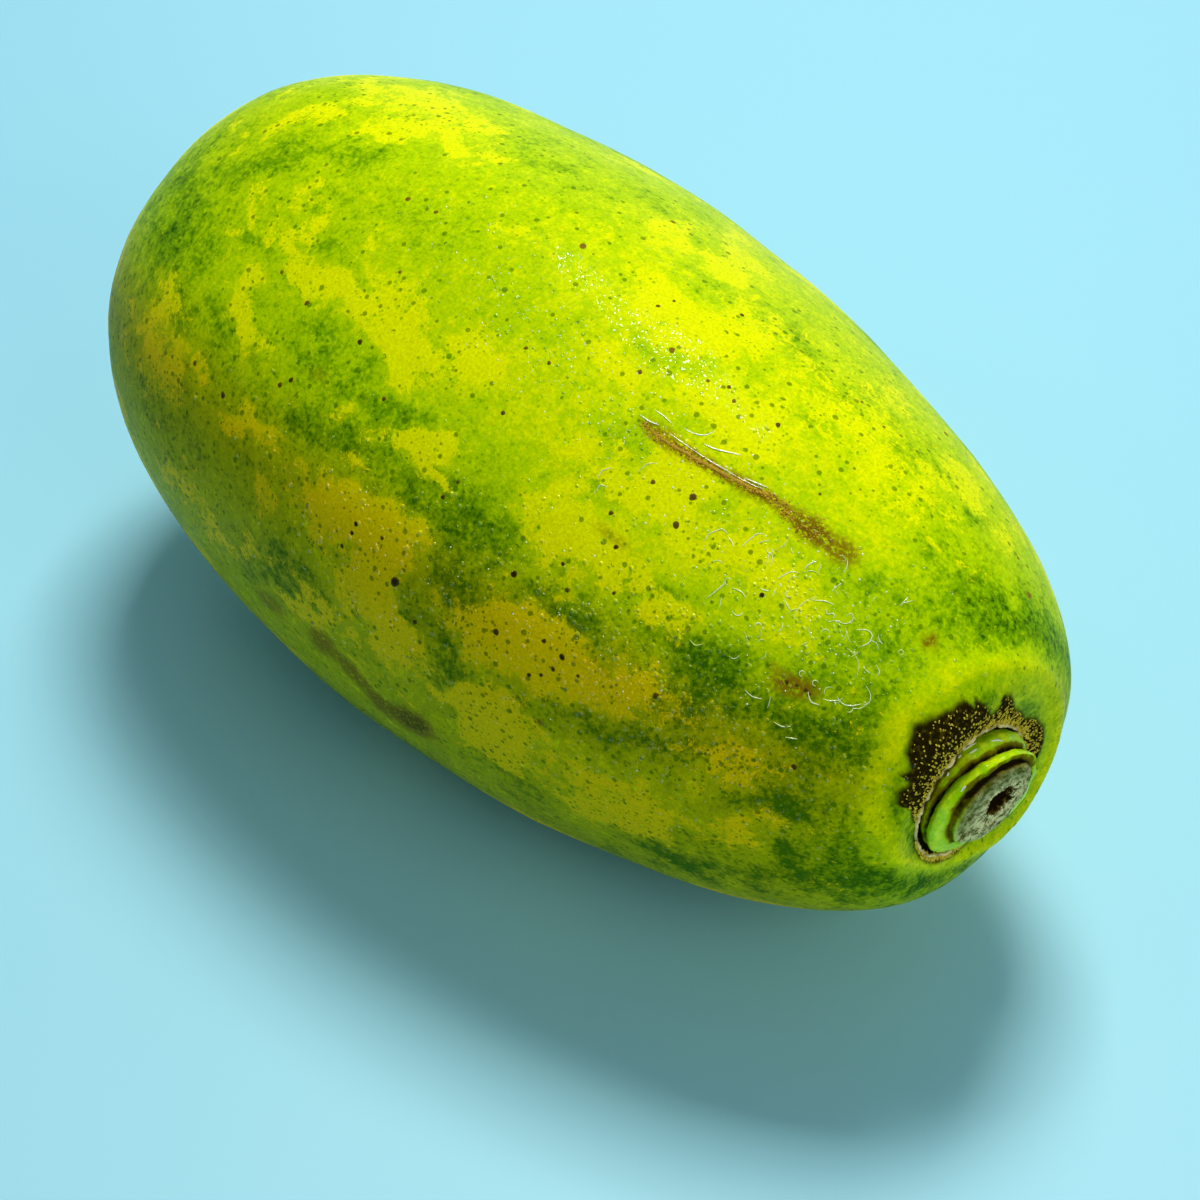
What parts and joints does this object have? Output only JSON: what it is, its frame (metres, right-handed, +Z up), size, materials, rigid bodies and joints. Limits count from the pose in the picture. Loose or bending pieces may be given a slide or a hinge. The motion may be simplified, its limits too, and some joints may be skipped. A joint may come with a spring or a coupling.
{
  "type": "papaya",
  "caption": "Ripening papaya lying on its side, an oval fruit with faint lobes and a short cut stem stub in its shoulder.",
  "frame": {"origin": "middle of the fruit with its stem stub, on the surface it lies on", "axes": "+X along the fruit from the blossom tip towards the stem, +Y across it, +Z up"},
  "size_m": [0.1892, 0.1006, 0.0998],
  "materials": {
    "skin": "smooth waxy fruit skin, yellow blotches on green, satin gloss",
    "stem": "green stem rind round a dry grey-tan fibrous cut"
  },
  "bodies": {
    "root": {"fruit": "skin", "stem": "stem"}
  },
  "joints": []
}
